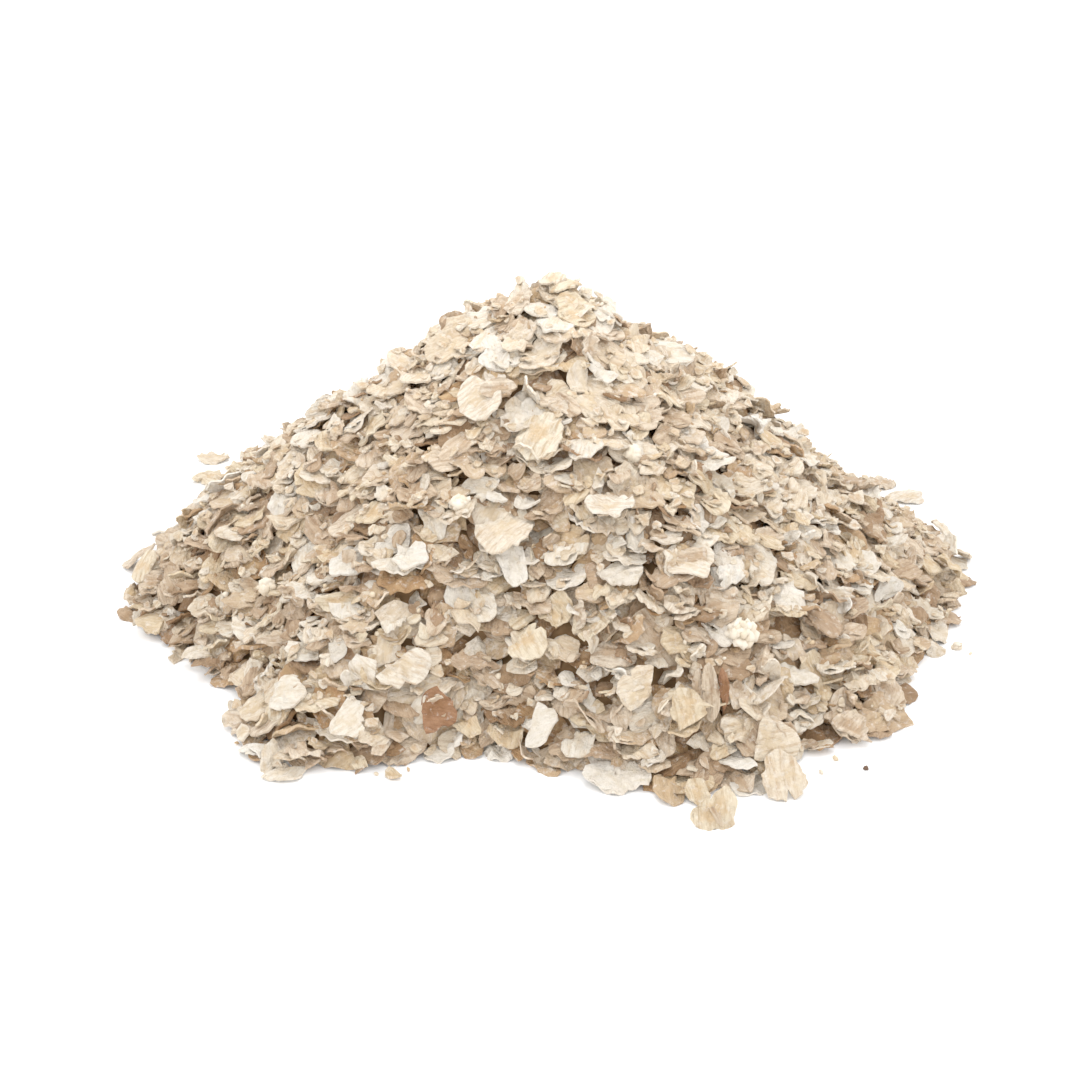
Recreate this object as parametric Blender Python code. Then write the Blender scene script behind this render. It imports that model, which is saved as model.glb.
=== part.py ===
"""A loose heap of rolled oats as it lies on a flat surface, all one solid.

Metres, +Z up. The front of the heap faces -Y.
"""

import math
import random

import bmesh
import bpy
import numpy as np
from mathutils import Matrix, Vector
from mathutils.bvhtree import BVHTree

MM = 0.001

# The heap as a whole: a cone with a rounded top, full flanks and an uneven foot.
HEAP_HEIGHT = 56.0 * MM
FOOT_RADIUS = 68.4 * MM
APEX_OFFSET = (-0.5 * MM, 1.3 * MM)
TOP_ROUNDNESS = 0.045
FLANK_FULLNESS = 0.89
# Waves of the foot line as (waves round the heap, cosine share, sine share).
FOOT_WAVES = (
    (1, -0.011, 0.113),
    (2, 0.040, -0.040),
    (3, -0.017, 0.019),
    (4, -0.009, 0.003),
    (5, 0.017, 0.033),
    (6, 0.041, 0.013),
    (7, -0.033, 0.011),
)
# Tongues and bays of the foot as (degrees round, half width in degrees, reach).
FOOT_LOBES = (
    (171, 14, -7.5 * MM),
    (235, 8, 5.2 * MM),
    (256, 5, -3.0 * MM),
    (285, 5, 1.5 * MM),
    (292, 3, -2.0 * MM),
    (310, 5, -8.0 * MM),
    (320, 4, 2.0 * MM),
)
# Swells of the slope as (degrees round, share of the way down, radius, height).
SLOPE_SWELLS = (
    (33, 0.38, 9 * MM, 3.0 * MM),
    (20, 0.72, 14 * MM, -1.8 * MM),
    (146, 0.88, 10 * MM, 3.5 * MM),
    (262, 0.62, 16 * MM, 1.5 * MM),
)

# The core that the flakes sit on.
CORE_SECTORS = 38
CORE_RINGS = 11
CORE_DEPTH = 0.7 * MM
CORE_BUMP = 0.5 * MM
CORE_BELOW_FLOOR = 3.0 * MM

# One rolled oat flake.
SIDES_LARGE = 6
SIDES_SMALL = 5
LARGE_FLAKE = 7.2 * MM
FLAKE_LENGTH = (5.6 * MM, 9.4 * MM)
NARROWEST_LARGE = 0.8
NARROWEST_SMALL = 0.68
FLAKE_THICKNESS = 0.85 * MM
FLAKE_DOME = 0.35 * MM
FLAKE_RAGGEDNESS = 0.13

# How the flakes lie.
SLOPE_FLAKES = 218
CANDIDATES = 3000
LEAST_TILT = math.radians(7)
MOST_TILT = math.radians(34)
USUAL_TILT = math.radians(15)
STANDING_EVERY = 15
STANDING_TILT = (math.radians(48), math.radians(78))
SEAT_DEPTH = 0.1 * MM
STACK_LIFT = 0.4 * MM
LEAST_BITE = 0.35 * MM
LEVELLING = 0.15
LOWEST_FLAKE = 0.97
SKIRT_FLAKES = 29
SKIRT_HEIGHT = 0.5 * MM
STRAY_HEIGHT = 0.35 * MM

# Flakes that lie just off the foot, as (x, y, length, degrees they lean towards).
STRAY_FLAKES = (
    (22.3 * MM, -68.8 * MM, 8.8 * MM, 20),
    (21.7 * MM, -63.2 * MM, 8.0 * MM, 80),
    (19.6 * MM, -57.8 * MM, 8.0 * MM, 30),
    (-60.4 * MM, 52.0 * MM, 8.4 * MM, 10),
    (-63.6 * MM, 57.0 * MM, 8.0 * MM, 60),
    (-66.0 * MM, 62.4 * MM, 8.0 * MM, 120),
    (-71.0 * MM, 13.6 * MM, 7.4 * MM, 130),
    (-67.0 * MM, 18.0 * MM, 7.4 * MM, 35),
    (-69.0 * MM, 6.0 * MM, 7.4 * MM, 100),
    (31.6 * MM, -60.2 * MM, 8.2 * MM, 10),
    (45.0 * MM, -49.6 * MM, 7.4 * MM, 150),
    (41.2 * MM, -45.6 * MM, 8.0 * MM, 70),
)

OAT_COLOUR = (0.62, 0.50, 0.37)
OAT_ROUGHNESS = 0.78

SLOPE_SEED = 41
SKIRT_SEED = 5
STRAY_SEED = 9
draw = random.Random(SLOPE_SEED)
MOST_REACH = (1.3 * FOOT_RADIUS) ** 2


def clear_scene():
    for thing in list(bpy.data.objects):
        bpy.data.objects.remove(thing, do_unlink=True)


def foot_radius(angle, down=1.0):
    """Reach of the foot line in this direction; its lobes fade out up the slope."""
    share = 1.0
    for waves, cosine, sine in FOOT_WAVES:
        share += cosine * math.cos(waves * angle) + sine * math.sin(waves * angle)
    reach = FOOT_RADIUS * share
    for degrees, half_width, lobe in FOOT_LOBES:
        turn = math.remainder(angle - math.radians(degrees), math.tau)
        reach += lobe * down**4 * math.exp(-((turn / math.radians(half_width)) ** 2))
    return reach


def slope_height(down):
    """Height at a share of the way from the apex (0) down to the foot (1)."""
    whole = math.hypot(1, TOP_ROUNDNESS)
    drop = math.hypot(down, TOP_ROUNDNESS)
    share = (whole - drop) / (whole - TOP_ROUNDNESS)
    return HEAP_HEIGHT * max(share, 0) ** FLANK_FULLNESS


def plain_slope_point(angle, down):
    reach = foot_radius(angle, down)
    foot = Vector((reach * math.cos(angle), reach * math.sin(angle)))
    across = Vector(APEX_OFFSET).lerp(foot, down)
    return Vector((across.x, across.y, slope_height(down)))


def slope_point(angle, down):
    """A point of the heap's surface, with the swells of the slope."""
    point = plain_slope_point(angle, down)
    for degrees, swell_down, radius, height in SLOPE_SWELLS:
        middle = plain_slope_point(math.radians(degrees), swell_down)
        away = (point - middle).length / radius
        point.z += height * math.exp(-away * away)
    return point


def slope_normal(angle, down):
    turn = 0.04
    step = 0.04
    low = max(down - step, 0.02)
    round_heap = slope_point(angle + turn, down) - slope_point(angle - turn, down)
    downhill = slope_point(angle, down + step) - slope_point(angle, low)
    return downhill.cross(round_heap).normalized()


def mesh_object(name, corners, faces, collection):
    mesh = bpy.data.meshes.new(name)
    mesh.from_pydata([tuple(corner) for corner in corners], [], faces)
    mesh.update()
    thing = bpy.data.objects.new(name, mesh)
    collection.objects.link(thing)
    return thing


def make_core(collection):
    """The packed oats under the flakes, with bumps about as wide as a flake."""
    corners = [slope_point(0, 0) - Vector((0, 0, CORE_DEPTH))]
    for ring in range(1, CORE_RINGS + 1):
        down = ring / CORE_RINGS
        for sector in range(CORE_SECTORS):
            angle = math.tau * (sector + 0.5 * (ring % 2)) / CORE_SECTORS
            bump = draw.uniform(-CORE_BUMP, CORE_BUMP) * min(1, 2.5 * down)
            sunk = slope_normal(angle, down) * (bump - CORE_DEPTH)
            corners.append(slope_point(angle, down) + sunk)
    below = len(corners)
    for sector in range(CORE_SECTORS):
        foot = corners[below - CORE_SECTORS + sector]
        corners.append(Vector((foot.x, foot.y, -CORE_BELOW_FLOOR)))
    corners.append(Vector((0, 0, -CORE_BELOW_FLOOR)))
    return mesh_object("heap_core", corners, core_faces(len(corners)), collection)


def core_faces(corner_count):
    """Triangles between the rings, from the apex (first) to the base (last)."""
    faces = []
    for sector in range(CORE_SECTORS):
        after = (sector + 1) % CORE_SECTORS
        faces.append((0, 1 + sector, 1 + after))
        last = corner_count - 1 - CORE_SECTORS
        faces.append((corner_count - 1, last + after, last + sector))
        for ring in range(CORE_RINGS):
            upper = 1 + ring * CORE_SECTORS
            lower = upper + CORE_SECTORS
            a, b = upper + sector, upper + after
            c, d = lower + sector, lower + after
            if ring % 2 == 0:
                faces.extend(((a, c, d), (a, d, b)))
            else:
                faces.extend(((a, c, b), (b, c, d)))
    return faces


def flake_corners(length, sides):
    """A flake lying flat at the origin: bottom ring, top ring and top middle."""
    narrowest = NARROWEST_LARGE if length > LARGE_FLAKE else NARROWEST_SMALL
    width = length * draw.uniform(narrowest, 0.95)
    start = draw.uniform(0, math.tau)
    bend = draw.uniform(-0.5, 0.7) * MM
    edge = []
    for side in range(sides):
        angle = start + math.tau * (side + draw.uniform(-0.22, 0.22)) / sides
        ragged = 1 + draw.uniform(-FLAKE_RAGGEDNESS, FLAKE_RAGGEDNESS)
        x = 0.5 * length * ragged * math.cos(angle)
        y = 0.5 * width * ragged * math.sin(angle)
        edge.append(Vector((x, y, bend * math.cos(2 * angle))))
    half = Vector((0, 0, 0.5 * FLAKE_THICKNESS))
    bottom = [point - half for point in edge]
    top = [point + half for point in edge]
    return bottom + top + [half + Vector((0, 0, FLAKE_DOME))]


def flake_faces(sides):
    faces = []
    for side in range(sides):
        after = (side + 1) % sides
        a, b = side, after
        c, d = sides + side, sides + after
        faces.extend(((a, b, d), (a, d, c)))
        faces.append((2 * sides, c, d))
        if 0 < side < sides - 1:
            faces.append((0, b, a))
    return faces


def lay_flake(middle, normal, length, collection, core=None):
    """One flake here with its broad face this way up, sunk until it meets the core."""
    turn = Matrix.Rotation(draw.uniform(0, math.tau), 4, "Z")
    lean = Vector((0, 0, 1)).rotation_difference(normal).to_matrix().to_4x4()
    place = Matrix.Translation(middle) @ lean @ turn
    sides = SIDES_LARGE if length > LARGE_FLAKE else SIDES_SMALL
    corners = [place @ corner for corner in flake_corners(length, sides)]
    if core:
        gap = min(height_over(core, corner) for corner in corners)
        sink = normal * max(gap + LEAST_BITE, 0)
        corners = [corner - sink for corner in corners]
    return mesh_object("flake", corners, flake_faces(sides), collection)


def height_over(core, point):
    """How far this point is outside the core; below zero when it is inside."""
    nearest, outward, _, _ = core.find_nearest(point)
    return (point - nearest).dot(outward)


def tilted(normal, tilt):
    """The normal leaned over by the tilt, to a side drawn at random."""
    side = Vector((draw.gauss(0, 1), draw.gauss(0, 1), draw.gauss(0, 1)))
    axis = normal.cross(side).normalized()
    return Matrix.Rotation(tilt, 3, axis) @ normal


def slope_spots():
    """Spots all over the slope, in an order that keeps each far from those before."""
    spots = []
    while len(spots) < CANDIDATES:
        angle = draw.uniform(0, math.tau)
        down = math.sqrt(draw.random())
        if draw.random() * MOST_REACH < foot_radius(angle, down) ** 2:
            spots.append((angle, down * LOWEST_FLAKE))
    points = np.array([slope_point(angle, down)[:] for angle, down in spots])
    order = [0]
    gaps = np.linalg.norm(points - points[0], axis=1)
    while len(order) < SLOPE_FLAKES:
        farthest = int(gaps.argmax())
        order.append(farthest)
        gaps = np.minimum(gaps, np.linalg.norm(points - points[farthest], axis=1))
    draw.shuffle(order)
    return [spots[number] for number in order]


def lay_slope_flakes(collection, core):
    """Flakes all over the slope, the largest first and each later one on top."""
    shortest, longest = FLAKE_LENGTH
    taken = []
    for number, (angle, down) in enumerate(slope_spots()):
        share = number / (SLOPE_FLAKES - 1)
        length = longest + (shortest - longest) * share**0.9
        point = slope_point(angle, down)
        near = sum((point - other).length < 0.62 * size for other, size in taken)
        if number % STANDING_EVERY == STANDING_EVERY - 1:
            tilt = draw.uniform(*STANDING_TILT)
        else:
            tilt = min(max(abs(draw.gauss(0, USUAL_TILT)), LEAST_TILT), MOST_TILT)
        upward = slope_normal(angle, down).lerp(Vector((0, 0, 1)), LEVELLING)
        lift = min(near, 2) * STACK_LIFT - SEAT_DEPTH
        lifted = point + upward * lift
        normal = tilted(upward.normalized(), tilt)
        lay_flake(lifted, normal, length, collection, core)
        taken.append((point, length))


def lay_skirt_flakes(collection):
    """Flakes that slid to the foot and lie nearly flat on the floor."""
    draw.seed(SKIRT_SEED)
    for number in range(SKIRT_FLAKES):
        angle = math.tau * (number + draw.uniform(-0.4, 0.4)) / SKIRT_FLAKES
        reach = foot_radius(angle) - draw.uniform(0.8, 3.2) * MM
        across = Vector((reach * math.cos(angle), reach * math.sin(angle), 0))
        middle = across + Vector((0, 0, SKIRT_HEIGHT))
        length = draw.uniform(5.6, 8.2) * MM
        normal = tilted(Vector((0, 0, 1)), math.radians(draw.uniform(0, 16)))
        lay_flake(middle, normal, length, collection)


def lay_stray_flakes(collection):
    """Flakes that lie beside the foot and just touch it or each other."""
    draw.seed(STRAY_SEED)
    for x, y, length, degrees in STRAY_FLAKES:
        toward = math.radians(degrees)
        lean = Vector((0.05 * math.cos(toward), 0.05 * math.sin(toward), 1))
        middle = Vector((x, y, STRAY_HEIGHT))
        lay_flake(middle, lean.normalized(), length, collection)


def apply_boolean(thing, modifier):
    bpy.context.view_layer.objects.active = thing
    bpy.ops.object.modifier_apply(modifier=modifier.name)


def fuse(core, flakes):
    """The core and all flakes joined, then cut flat where the heap meets the floor."""
    join = core.modifiers.new("join", "BOOLEAN")
    join.operation = "UNION"
    join.operand_type = "COLLECTION"
    join.collection = flakes
    join.solver = "EXACT"
    apply_boolean(core, join)
    for flake in list(flakes.objects):
        bpy.data.objects.remove(flake, do_unlink=True)
    bpy.data.collections.remove(flakes)
    bpy.ops.mesh.primitive_cube_add(size=1, location=(0, 0, -0.05))
    floor = bpy.context.object
    floor.scale = (0.5, 0.5, 0.1)
    floor.hide_render = True
    floor.display_type = "WIRE"
    level = core.modifiers.new("level", "BOOLEAN")
    level.operation = "DIFFERENCE"
    level.object = floor
    level.solver = "EXACT"
    apply_boolean(core, level)
    bpy.data.objects.remove(floor, do_unlink=True)


def keep_outer_shell(thing):
    """Drops loose scraps and fills the hollows that the joining sealed."""
    mesh = bmesh.new()
    mesh.from_mesh(thing.data)
    bmesh.ops.triangulate(mesh, faces=mesh.faces[:])
    unseen = set(mesh.faces)
    shells = []
    while unseen:
        shell = []
        queue = [unseen.pop()]
        while queue:
            face = queue.pop()
            shell.append(face)
            for edge in face.edges:
                for other in edge.link_faces:
                    if other in unseen:
                        unseen.remove(other)
                        queue.append(other)
        shells.append(shell)
    shells.sort(key=len, reverse=True)
    spare = [face for shell in shells[1:] for face in shell]
    bmesh.ops.delete(mesh, geom=spare, context="FACES")
    mesh.to_mesh(thing.data)
    mesh.free()


def centre_on_floor(thing):
    """Moves the mesh so that the origin is at the middle of its foot."""
    points = np.array([corner.co[:] for corner in thing.data.vertices])
    low = points.min(axis=0)
    high = points.max(axis=0)
    middle = 0.5 * (low + high)
    thing.data.transform(Matrix.Translation((-middle[0], -middle[1], -low[2])))


def colour_oats(thing):
    material = bpy.data.materials.new("rolled_oats")
    material.use_nodes = True
    surface = material.node_tree.nodes["Principled BSDF"]
    surface.inputs["Base Color"].default_value = (*OAT_COLOUR, 1)
    surface.inputs["Roughness"].default_value = OAT_ROUGHNESS
    surface.inputs["Metallic"].default_value = 0
    thing.data.materials.clear()
    thing.data.materials.append(material)


clear_scene()
flakes = bpy.data.collections.new("flakes")
bpy.context.scene.collection.children.link(flakes)
heap = make_core(bpy.context.scene.collection)
depsgraph = bpy.context.evaluated_depsgraph_get()
lay_slope_flakes(flakes, BVHTree.FromObject(heap, depsgraph))
lay_skirt_flakes(flakes)
lay_stray_flakes(flakes)
fuse(heap, flakes)
keep_outer_shell(heap)
centre_on_floor(heap)
colour_oats(heap)
heap.name = "oat_heap"
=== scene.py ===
"""A loose heap of rolled oats on a plain pale surface.

Metres, +Z up, and the side of the heap that faces the camera is -Y.
The flakes are dropped one by one onto a core until they fill the heap's form.
"""

import math
import random

import bmesh
import bpy
import numpy as np
from mathutils import Euler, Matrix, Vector
from mathutils.bvhtree import BVHTree


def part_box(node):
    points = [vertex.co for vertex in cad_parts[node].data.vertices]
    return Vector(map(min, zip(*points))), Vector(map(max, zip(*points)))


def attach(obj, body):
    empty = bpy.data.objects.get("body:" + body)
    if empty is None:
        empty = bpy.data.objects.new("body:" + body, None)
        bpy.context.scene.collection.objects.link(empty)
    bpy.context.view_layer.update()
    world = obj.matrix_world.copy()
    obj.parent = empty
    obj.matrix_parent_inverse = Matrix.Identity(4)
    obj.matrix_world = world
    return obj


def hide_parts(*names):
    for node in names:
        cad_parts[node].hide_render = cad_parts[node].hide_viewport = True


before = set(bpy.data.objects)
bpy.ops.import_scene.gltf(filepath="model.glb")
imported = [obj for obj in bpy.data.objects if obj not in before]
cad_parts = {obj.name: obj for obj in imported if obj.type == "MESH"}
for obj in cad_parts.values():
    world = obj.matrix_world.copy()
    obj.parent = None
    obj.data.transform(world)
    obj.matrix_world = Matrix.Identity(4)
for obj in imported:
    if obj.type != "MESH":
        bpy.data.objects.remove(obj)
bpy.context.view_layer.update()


# The camera, at the height and distance the heap was photographed from. The heap
# stands a little right of the middle of the picture, which is the lens's shift.
MM = 0.001
CAMERA_DISTANCE = 300 * MM
CAMERA_ELEVATION = math.radians(23.98)
AIM_HEIGHT = 11.07 * MM
AIM_ASIDE = -0.75 * MM
LENS = 59.5
SENSOR_WIDTH = 36
PICTURE_SHIFT = -0.0037
NEAREST_SEEN = 10 * MM

camera_data = bpy.data.cameras.new("camera")
camera_data.lens = LENS
camera_data.sensor_width = SENSOR_WIDTH
camera_data.shift_x = PICTURE_SHIFT
camera_data.clip_start = NEAREST_SEEN
camera = bpy.data.objects.new("camera", camera_data)
camera.location = (
    AIM_ASIDE,
    -CAMERA_DISTANCE * math.cos(CAMERA_ELEVATION),
    AIM_HEIGHT + CAMERA_DISTANCE * math.sin(CAMERA_ELEVATION),
)
camera.rotation_euler = (math.pi / 2 - CAMERA_ELEVATION, 0, 0)
bpy.context.scene.collection.objects.link(camera)
bpy.context.scene.camera = camera


# The heap's form, read from the CAD solid from above on a fine square grid, and
# smoothed so that its own flakes don't show. It is what the oats fill up to.
CELL = 0.4 * MM
MARGIN = 6 * MM
ABOVE_PEAK = 10 * MM
FORM_BLUR = 2.2 * MM
BLUR_REACH = 3

cad_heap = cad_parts["oat_heap"]
low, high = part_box("oat_heap")
columns = int((high[0] - low[0] + 2 * MARGIN) / CELL)
rows = int((high[1] - low[1] + 2 * MARGIN) / CELL)
grid_x = low[0] - MARGIN + CELL * (np.arange(columns) + 0.5)
grid_y = low[1] - MARGIN + CELL * (np.arange(rows) + 0.5)


def form_from_above():
    """How high the CAD heap's top is in each cell, and 0 beside it."""
    tree = BVHTree.FromPolygons(
        [corner.co for corner in cad_heap.data.vertices],
        [tuple(face.vertices) for face in cad_heap.data.polygons],
    )
    down = Vector((0, 0, -1))
    start = high[2] + ABOVE_PEAK
    heights = np.zeros((rows, columns))
    for row, y in enumerate(grid_y):
        for column, x in enumerate(grid_x):
            hit = tree.ray_cast(Vector((x, y, start)), down)[0]
            if hit is not None:
                heights[row, column] = hit.z
    return heights


def blurred(field, width):
    """The field averaged over about this width, by rows and then by columns."""
    reach = int(BLUR_REACH * width / CELL) + 1
    steps = np.arange(-reach, reach + 1)
    weights = np.exp(-0.5 * (steps * CELL / width) ** 2)
    weights /= weights.sum()
    for axis in (0, 1):
        sides = [(reach, reach) if axis == way else (0, 0) for way in (0, 1)]
        padded = np.pad(field, sides, mode="edge")
        total = np.zeros_like(field)
        for step, weight in enumerate(weights):
            total += weight * np.take(padded, range(step, step + field.shape[axis]), axis=axis)
        field = total
    return field


form = form_from_above()
heap_form = blurred(form, FORM_BLUR)


# The middle of the heap: oats that packed close as they were poured. They are out of
# sight but for the deepest gaps between the flakes, so here they are one closed body
# that the flakes lie on, with a flat base.
CORE_DEPTH = 4.2 * MM
CORE_STEP = 5
CORE_LEAST = 0.3 * MM
CORE_BASE = 0.05 * MM
FORM_LEAST = 0.2 * MM
# Painted shade: the core's dark browns stand for the shade deep between the flakes.
CORE_PAINTED_SHADE = ((0.35, "5f4529"), (0.65, "8a6a48"))
BLOTCH_WIDTH = 3 * MM

core_top = np.maximum(heap_form - CORE_DEPTH, 0)
core_top[form < FORM_LEAST] = 0


def core_mesh():
    """The core's top, as a grid with its sides closed down to a flat base."""
    ys = np.arange(0, rows, CORE_STEP)
    xs = np.arange(0, columns, CORE_STEP)
    top = core_top[np.ix_(ys, xs)]
    inside = top > CORE_LEAST
    corners = []
    index = {}
    faces = []

    def corner(row, column, upper):
        key = (row, column, upper)
        if key not in index:
            z = top[row, column] if upper else 0
            index[key] = len(corners)
            corners.append((grid_x[xs[column]], grid_y[ys[row]], max(z, CORE_BASE)))
        return index[key]

    def full(row, column):
        if not (0 <= row < len(ys) - 1 and 0 <= column < len(xs) - 1):
            return False
        return bool(inside[row:row + 2, column:column + 2].all())

    for row in range(len(ys) - 1):
        for column in range(len(xs) - 1):
            if not full(row, column):
                continue
            around = ((row, column), (row, column + 1), (row + 1, column + 1), (row + 1, column))
            faces.append([corner(r, c, True) for r, c in around])
            faces.append([corner(r, c, False) for r, c in reversed(around)])
            beyond = ((row - 1, column), (row, column + 1), (row + 1, column), (row, column - 1))
            for side, neighbour in enumerate(beyond):
                if not full(*neighbour):
                    a, b = around[side], around[(side + 1) % 4]
                    faces.append([
                        corner(*a, False), corner(*b, False), corner(*b, True), corner(*a, True),
                    ])
    mesh = bpy.data.meshes.new("packed_oats")
    mesh.from_pydata(corners, [], faces)
    mesh.shade_smooth()
    return mesh


def linear(hex_colour):
    """An sRGB hex value as the linear colour a shader takes."""
    channels = [int(hex_colour[i:i + 2], 16) / 255 for i in (0, 2, 4)]
    return [c / 12.92 if c <= 0.04045 else ((c + 0.055) / 1.055) ** 2.4 for c in channels]


def add_node(material, kind, settings=None, links=None):
    """One node with its settings and its links, given as input: (node, output) or value."""
    tree = material.node_tree
    node = tree.nodes.new(kind)
    for name, value in (settings or {}).items():
        setattr(node, name, value)
    for name, value in (links or {}).items():
        if isinstance(value, tuple) and isinstance(value[0], bpy.types.Node):
            tree.links.new(value[0].outputs[value[1]], node.inputs[name])
        else:
            node.inputs[name].default_value = value
    return node


def new_material(name, inputs):
    """A material and its surface node, with these inputs of the surface set."""
    material = bpy.data.materials.new(name)
    material.use_nodes = True
    surface = material.node_tree.nodes["Principled BSDF"]
    for key, value in inputs.items():
        surface.inputs[key].default_value = value
    return material, surface


def heap_piece(name, mesh, material):
    """Adds a piece of the heap, which stands in for the CAD's solid one."""
    mesh.materials.append(material)
    piece = bpy.data.objects.new(name, mesh)
    bpy.context.scene.collection.objects.link(piece)
    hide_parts("oat_heap")
    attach(piece, "root")


# Packed oats in shade, dry starch and bran, matt. Their colour is painted shade: a warm
# dark brown for the deepest gaps, which light only reaches by way of other flakes, in
# blotches a few flakes thick, 3 mm.
packed_material, packed_surface = new_material(
    "packed_oats_in_shade", {"Roughness": 0.9, "Specular IOR Level": 0.2},
)
packed_place = add_node(packed_material, "ShaderNodeNewGeometry")
packed_noise = add_node(
    packed_material, "ShaderNodeTexNoise",
    links={"Vector": (packed_place, "Position"), "Scale": 1 / BLOTCH_WIDTH, "Detail": 3.0},
)
packed_ramp = add_node(packed_material, "ShaderNodeValToRGB", links={"Fac": (packed_noise, "Fac")})
for element, (position, colour) in zip(packed_ramp.color_ramp.elements, CORE_PAINTED_SHADE):
    element.position = position
    element.color = (*linear(colour), 1)
packed_material.node_tree.links.new(
    packed_ramp.outputs["Color"], packed_surface.inputs["Base Color"]
)
heap_piece("packed_oats", core_mesh(), packed_material)


# Whole flakes: oat groats steamed and rolled flat, each about 6 to 9 mm long and half
# a millimetre thick, oval with a ragged edge and often broken straight across. Each
# drops onto the oats below and tips until three points of it are held up.
DIRECTIONS = 36
DIRECTION_ANGLES = np.arange(DIRECTIONS) * math.tau / DIRECTIONS
FLAKE_LENGTHS = (5.2 * MM, 7.2 * MM, 10.0 * MM)
SMALL_LENGTHS = (2.0 * MM, 3.6 * MM, 5.2 * MM)
WHOLE_SHARE = 0.54
FLAKE_THICKNESSES = (0.36 * MM, 0.62 * MM)
FLAKE_WIDTHS = (0.45, 0.95)
EDGE_WAVES = (2, 3, 4, 5, 7, 10)
WAVE_SWING = 0.19
WAVE_FALL = 1.2
RAGGEDNESS = 0.03
BROKEN_SHARE = 0.8
BREAK_REACHES = (0.22, 0.8)
BREAK_UNEVENNESS = 0.4
EDGE_ON = 0.05
NO_BREAK = 1.0
BITTEN_SHARE = 0.45
BITE_DEPTHS = (0.1, 0.32)
BITE_SHAPE = ((-1, 0.6), (0, 1.0), (1, 0.5))
CRACKED_SHARE = 0.4
CRACK_LEAVES = (0.45, 0.75)
LEAST_REACH = 0.1

draw = random.Random(7)


def between(least, usual, most):
    """A random size from least to most, and most often near the usual one."""
    return draw.triangular(least, most, usual)


def any_length():
    """A flake's length: a whole one, or a half or smaller that broke off one."""
    return between(*(FLAKE_LENGTHS if draw.random() < WHOLE_SHARE else SMALL_LENGTHS))


def straight_break(facing, reach):
    """Reach, in each direction, of a straight broken edge that faces one way."""
    toward = np.cos(DIRECTION_ANGLES - facing)
    return np.where(toward > EDGE_ON, reach / np.maximum(toward, EDGE_ON), NO_BREAK)


def flake_outline(length, widths=FLAKE_WIDTHS, broken=BROKEN_SHARE):
    """Reach of the edge in each direction: an oval, uneven, ragged, cut, bitten and cracked."""
    width = length * draw.uniform(*widths)
    angles = DIRECTION_ANGLES
    oval = 0.5 / np.hypot(np.cos(angles) / length, np.sin(angles) / width)
    uneven = np.ones(DIRECTIONS)
    for waves in EDGE_WAVES:
        swing = draw.gauss(0, WAVE_SWING / waves**WAVE_FALL)
        uneven += swing * np.cos(waves * angles + draw.uniform(0, math.tau))
    uneven += np.array([draw.gauss(0, RAGGEDNESS) for _ in angles])
    outline = oval * uneven
    cuts = (draw.random() < broken) + (draw.random() < 0.5 * broken)
    for _ in range(cuts):
        facing = draw.uniform(0, math.tau)
        cut = straight_break(facing, 0.5 * width * draw.uniform(*BREAK_REACHES))
        outline = np.minimum(outline, cut * (1 + BREAK_UNEVENNESS * (uneven - 1)))
    if draw.random() < BITTEN_SHARE:
        bite = draw.randrange(DIRECTIONS)
        depth = draw.uniform(*BITE_DEPTHS)
        for step, share in BITE_SHAPE:
            outline[(bite + step) % DIRECTIONS] *= 1 - depth * share
    if draw.random() < CRACKED_SHARE:
        outline[draw.randrange(DIRECTIONS)] *= draw.uniform(*CRACK_LEAVES)
    return np.maximum(outline, LEAST_REACH * length)


CURL = 0.45 * MM
TWIST_SHARE = 0.7
CUP_SHARE = 0.3


def flake_bend(length, curl=CURL):
    """A shallow cup, roll or twist, as steamed flakes dry; curl is how far the ends rise."""
    sag = length * length / 4
    roll = draw.gauss(0, curl) / sag
    return (roll, draw.gauss(0, TWIST_SHARE * curl) / sag, draw.gauss(CUP_SHARE * curl, curl) / sag)


# How a flake leans: the share of the flank's slope it keeps, its sway along x and y, and
# the share of it that lies clear. Each pair is a share at the foot and its gain to the peak.
SNUG = (1.0, 0.0, 0.0, 1.0)
SNUG_SHARE = (0.16, 0.25)
LEAST_KEPT = (-0.4, 0.6)
USUAL_KEPT = (0.1, 0.5)
MOST_KEPT = 0.95
SWAY = 0.22
CALMER_AT_PEAK = 0.5
CLEAR_SHARE = (0.64, -0.1)


def flake_leaning(how_high):
    """Oats lie flatter than the heap's flank, like loose tiles, and sway as they wedge.

    how_high is 0 at the heap's foot and 1 at its peak, where they lie closer to the flank.
    """
    snug, least, usual, clear = [
        at_foot + gain * how_high
        for at_foot, gain in (SNUG_SHARE, LEAST_KEPT, USUAL_KEPT, CLEAR_SHARE)
    ]
    if draw.random() < snug:
        return SNUG
    share_kept = between(least, usual, MOST_KEPT)
    sway = SWAY * (1 - CALMER_AT_PEAK * how_high)
    return (share_kept, draw.gauss(0, sway), draw.gauss(0, sway), clear)


STEEPEST = math.tan(math.radians(62))
LEAST_SLOPE = 1e-4
NOT_ZERO = 1e-9
PROP_CHANGES = 40
TOUCHING = 1e-6
IN_ONE_LINE = 1e-14
filled = core_top.copy()


def cell_of(x, y):
    """Row and column of the grid's cell that this spot is in."""
    return int((y - grid_y[0]) / CELL), int((x - grid_x[0]) / CELL)


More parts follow.
